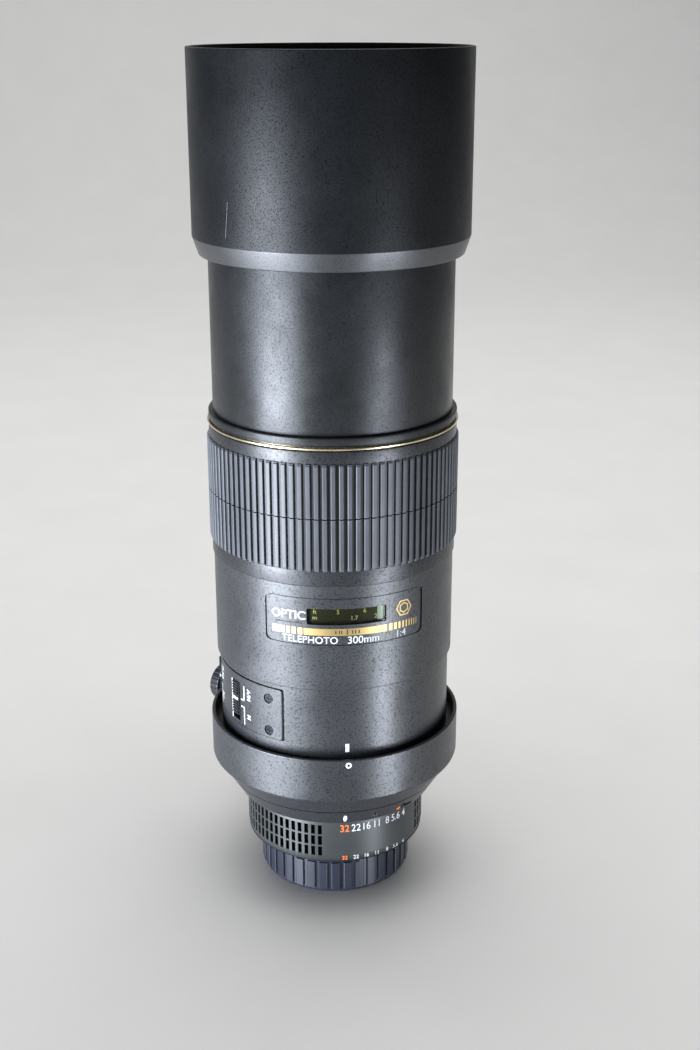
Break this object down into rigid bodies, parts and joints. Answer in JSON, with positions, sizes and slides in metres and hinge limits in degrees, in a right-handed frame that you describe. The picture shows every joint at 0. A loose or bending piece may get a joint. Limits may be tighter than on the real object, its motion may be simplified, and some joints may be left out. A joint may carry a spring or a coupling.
{
  "type": "telephoto camera lens",
  "caption": "Long telephoto prime camera lens with a sliding hood, ribbed focus ring, distance window, switch panel, tripod collar, aperture ring and rear cap.",
  "frame": {"origin": "centre of the rear cap's resting face, on the optical axis", "axes": "+Z along the optical axis towards the subject, -Y towards the index marks, the tripod foot towards +Y"},
  "size_m": [0.09, 0.113, 0.2875],
  "materials": {
    "speckled_paint": "fine-textured satin black paint on aluminium",
    "satin_paint": "smooth satin black paint",
    "hood_paint": "satin black outside, matt inside",
    "matt_black": "matt black anodised",
    "cap_plastic": "moulded satin black",
    "black_plastic": "moulded black",
    "ring_plastic": "moulded satin black with filled numbers",
    "panel_plastic": "fine-textured satin black",
    "grip_rubber": "ribbed dark grey rubber",
    "gold_finish": "satin gold anodised",
    "mount_steel": "turned and plated",
    "steel_screws": "plated",
    "dark_screws": "black oxide",
    "gold_contacts": "gold plated",
    "window_clear": "clear moulded window",
    "scale_black": "matt black with printed scale",
    "felt": "black felt",
    "brass_ring": "turned brass",
    "motor_metal": "lapped steel",
    "board_green": "solder-resist green",
    "coated_glass": "multi-coated optical glass",
    "blade_metal": "blackened spring steel"
  },
  "bodies": {
    "barrel": {"main_barrel": "speckled_paint", "upper_barrel": "speckled_paint", "tail_barrel": "speckled_paint", "front_barrel": "satin_paint", "front_trim_ring": "satin_paint", "gold_ring": "gold_finish", "hood_stop_ring": "matt_black", "front_cell": "matt_black", "front_retaining_ring": "matt_black", "front_element": "coated_glass", "front_doublet": "coated_glass", "name_plate": "speckled_paint", "scale_window": "window_clear", "switch_panel": "panel_plastic", "switch_panel_screws": "dark_screws", "tail_screws": "dark_screws", "mount_flange": "mount_steel", "mount_screws": "steel_screws", "contact_block": "black_plastic", "contact_pins": "gold_contacts", "rear_cell": "matt_black", "rear_doublet": "coated_glass", "rear_element": "coated_glass", "rear_retaining_ring": "matt_black", "circuit_board": "board_green", "inner_barrel": "matt_black", "motor_stator": "motor_metal", "motor_spring_ring": "mount_steel", "iris_housing": "matt_black"},
    "hood": {"hood_shell": "hood_paint", "hood_felt": "felt"},
    "focus_ring": {"focus_ring": "speckled_paint", "focus_grip": "grip_rubber"},
    "distance_scale": {"distance_drum": "scale_black"},
    "focus_cam": {"cam_ring": "brass_ring", "motor_rotor": "motor_metal"},
    "focus_group": {"focus_cell": "matt_black", "focus_front_doublet": "coated_glass", "focus_rear_doublet": "coated_glass", "cam_follower_pins": "brass_ring"},
    "aperture_ring": {"aperture_ring": "ring_plastic"},
    "aperture_lock": {"aperture_lock_lever": "black_plastic"},
    "iris_drive": {"iris_drive_ring": "brass_ring"},
    "stop_down_lever": {"aperture_lever": "mount_steel"},
    "mode_switch": {"focus_mode_switch": "black_plastic"},
    "limit_switch": {"focus_limit_switch": "black_plastic"},
    "tripod_collar": {"tripod_collar": "speckled_paint", "tripod_thread_insert": "mount_steel"},
    "collar_lock": {"collar_lock_knob": "black_plastic", "collar_lock_screw": "steel_screws"},
    "rear_cap": {"rear_cap": "cap_plastic"},
    "iris_blade_1": {"iris_blade_1": "blade_metal"},
    "iris_blade_2": {"iris_blade_2": "blade_metal"},
    "iris_blade_3": {"iris_blade_3": "blade_metal"},
    "iris_blade_4": {"iris_blade_4": "blade_metal"},
    "iris_blade_5": {"iris_blade_5": "blade_metal"},
    "iris_blade_6": {"iris_blade_6": "blade_metal"},
    "iris_blade_7": {"iris_blade_7": "blade_metal"},
    "iris_blade_8": {"iris_blade_8": "blade_metal"},
    "iris_blade_9": {"iris_blade_9": "blade_metal"}
  },
  "joints": [
    {"name": "hood_slide", "type": "slide", "parent": "barrel", "child": "hood", "axis": [0, 0, 1], "range_m": [-0.051, 0]},
    {"name": "focus_ring_turn", "type": "hinge", "parent": "barrel", "child": "focus_ring", "pos_m": [0, 0, 0.1465], "axis": [0, 0, 1], "range_deg": [-144, 16]},
    {"name": "distance_scale_turn", "type": "hinge", "parent": "barrel", "child": "distance_scale", "pos_m": [0, 0, 0.1125], "axis": [0, 0, 1], "range_deg": [-72, 8]},
    {"name": "focus_cam_turn", "type": "hinge", "parent": "barrel", "child": "focus_cam", "pos_m": [0, 0, 0.125], "axis": [0, 0, 1], "range_deg": [-72, 8]},
    {"name": "focus_group_slide", "type": "slide", "parent": "barrel", "child": "focus_group", "axis": [0, 0, 1], "range_m": [-0.0012, 0.0108]},
    {"name": "aperture_ring_turn", "type": "hinge", "parent": "barrel", "child": "aperture_ring", "pos_m": [0, 0, 0.0245], "axis": [0, 0, 1], "range_deg": [-43.08, 0]},
    {"name": "aperture_lock_turn", "type": "hinge", "parent": "barrel", "child": "aperture_lock", "pos_m": [0, 0, 0.0353], "axis": [0, 0, 1], "range_deg": [0, 3]},
    {"name": "iris_drive_turn", "type": "hinge", "parent": "barrel", "child": "iris_drive", "pos_m": [0, 0, 0.0757], "axis": [0, 0, 1], "range_deg": [-21.54, 0]},
    {"name": "stop_down_turn", "type": "hinge", "parent": "barrel", "child": "stop_down_lever", "pos_m": [0, 0, 0.018], "axis": [0, 0, 1], "range_deg": [-21.54, 0]},
    {"name": "mode_switch_slide", "type": "slide", "parent": "barrel", "child": "mode_switch", "axis": [0, 0, 1], "range_m": [-0.002, 0]},
    {"name": "limit_switch_slide", "type": "slide", "parent": "barrel", "child": "limit_switch", "axis": [0, 0, 1], "range_m": [-0.002, 0]},
    {"name": "tripod_collar_turn", "type": "hinge", "parent": "barrel", "child": "tripod_collar", "pos_m": [0, 0, 0.054], "axis": [0, 0, 1], "continuous": true},
    {"name": "collar_lock_turn", "type": "hinge", "parent": "tripod_collar", "child": "collar_lock", "pos_m": [-0.03748, 0.03748, 0.0549], "axis": [-0.7071, 0.7071, 0], "range_deg": [0, 360]},
    {"name": "rear_cap_slide", "type": "slide", "parent": "barrel", "child": "rear_cap", "axis": [0, 0, 1], "range_m": [-0.03, 0]},
    {"name": "iris_blade_1_turn", "type": "hinge", "parent": "barrel", "child": "iris_blade_1", "pos_m": [0.0295, 0, 0.0735], "axis": [0, 0, 1], "range_deg": [-32.5, 0]},
    {"name": "iris_blade_2_turn", "type": "hinge", "parent": "barrel", "child": "iris_blade_2", "pos_m": [0.0226, 0.01896, 0.0735], "axis": [0, 0, 1], "range_deg": [-32.5, 0]},
    {"name": "iris_blade_3_turn", "type": "hinge", "parent": "barrel", "child": "iris_blade_3", "pos_m": [0.00512, 0.02905, 0.0735], "axis": [0, 0, 1], "range_deg": [-32.5, 0]},
    {"name": "iris_blade_4_turn", "type": "hinge", "parent": "barrel", "child": "iris_blade_4", "pos_m": [-0.01475, 0.02555, 0.0735], "axis": [0, 0, 1], "range_deg": [-32.5, 0]},
    {"name": "iris_blade_5_turn", "type": "hinge", "parent": "barrel", "child": "iris_blade_5", "pos_m": [-0.02772, 0.01009, 0.0735], "axis": [0, 0, 1], "range_deg": [-32.5, 0]},
    {"name": "iris_blade_6_turn", "type": "hinge", "parent": "barrel", "child": "iris_blade_6", "pos_m": [-0.02772, -0.01009, 0.0735], "axis": [0, 0, 1], "range_deg": [-32.5, 0]},
    {"name": "iris_blade_7_turn", "type": "hinge", "parent": "barrel", "child": "iris_blade_7", "pos_m": [-0.01475, -0.02555, 0.0735], "axis": [0, 0, 1], "range_deg": [-32.5, 0]},
    {"name": "iris_blade_8_turn", "type": "hinge", "parent": "barrel", "child": "iris_blade_8", "pos_m": [0.00512, -0.02905, 0.0735], "axis": [0, 0, 1], "range_deg": [-32.5, 0]},
    {"name": "iris_blade_9_turn", "type": "hinge", "parent": "barrel", "child": "iris_blade_9", "pos_m": [0.0226, -0.01896, 0.0735], "axis": [0, 0, 1], "range_deg": [-32.5, 0]}
  ],
  "couplings": [
    {"joint": "distance_scale_turn", "follows": "focus_ring_turn", "ratio": 0.5},
    {"joint": "focus_cam_turn", "follows": "focus_ring_turn", "ratio": 0.5},
    {"joint": "focus_group_slide", "follows": "focus_ring_turn", "m_per_rad": -0.0042972},
    {"joint": "iris_drive_turn", "follows": "aperture_ring_turn", "ratio": 0.5},
    {"joint": "stop_down_turn", "follows": "aperture_ring_turn", "ratio": 0.5},
    {"joint": "iris_blade_1_turn", "follows": "aperture_ring_turn", "ratio": 0.75441},
    {"joint": "iris_blade_2_turn", "follows": "aperture_ring_turn", "ratio": 0.75441},
    {"joint": "iris_blade_3_turn", "follows": "aperture_ring_turn", "ratio": 0.75441},
    {"joint": "iris_blade_4_turn", "follows": "aperture_ring_turn", "ratio": 0.75441},
    {"joint": "iris_blade_5_turn", "follows": "aperture_ring_turn", "ratio": 0.75441},
    {"joint": "iris_blade_6_turn", "follows": "aperture_ring_turn", "ratio": 0.75441},
    {"joint": "iris_blade_7_turn", "follows": "aperture_ring_turn", "ratio": 0.75441},
    {"joint": "iris_blade_8_turn", "follows": "aperture_ring_turn", "ratio": 0.75441},
    {"joint": "iris_blade_9_turn", "follows": "aperture_ring_turn", "ratio": 0.75441}
  ]
}
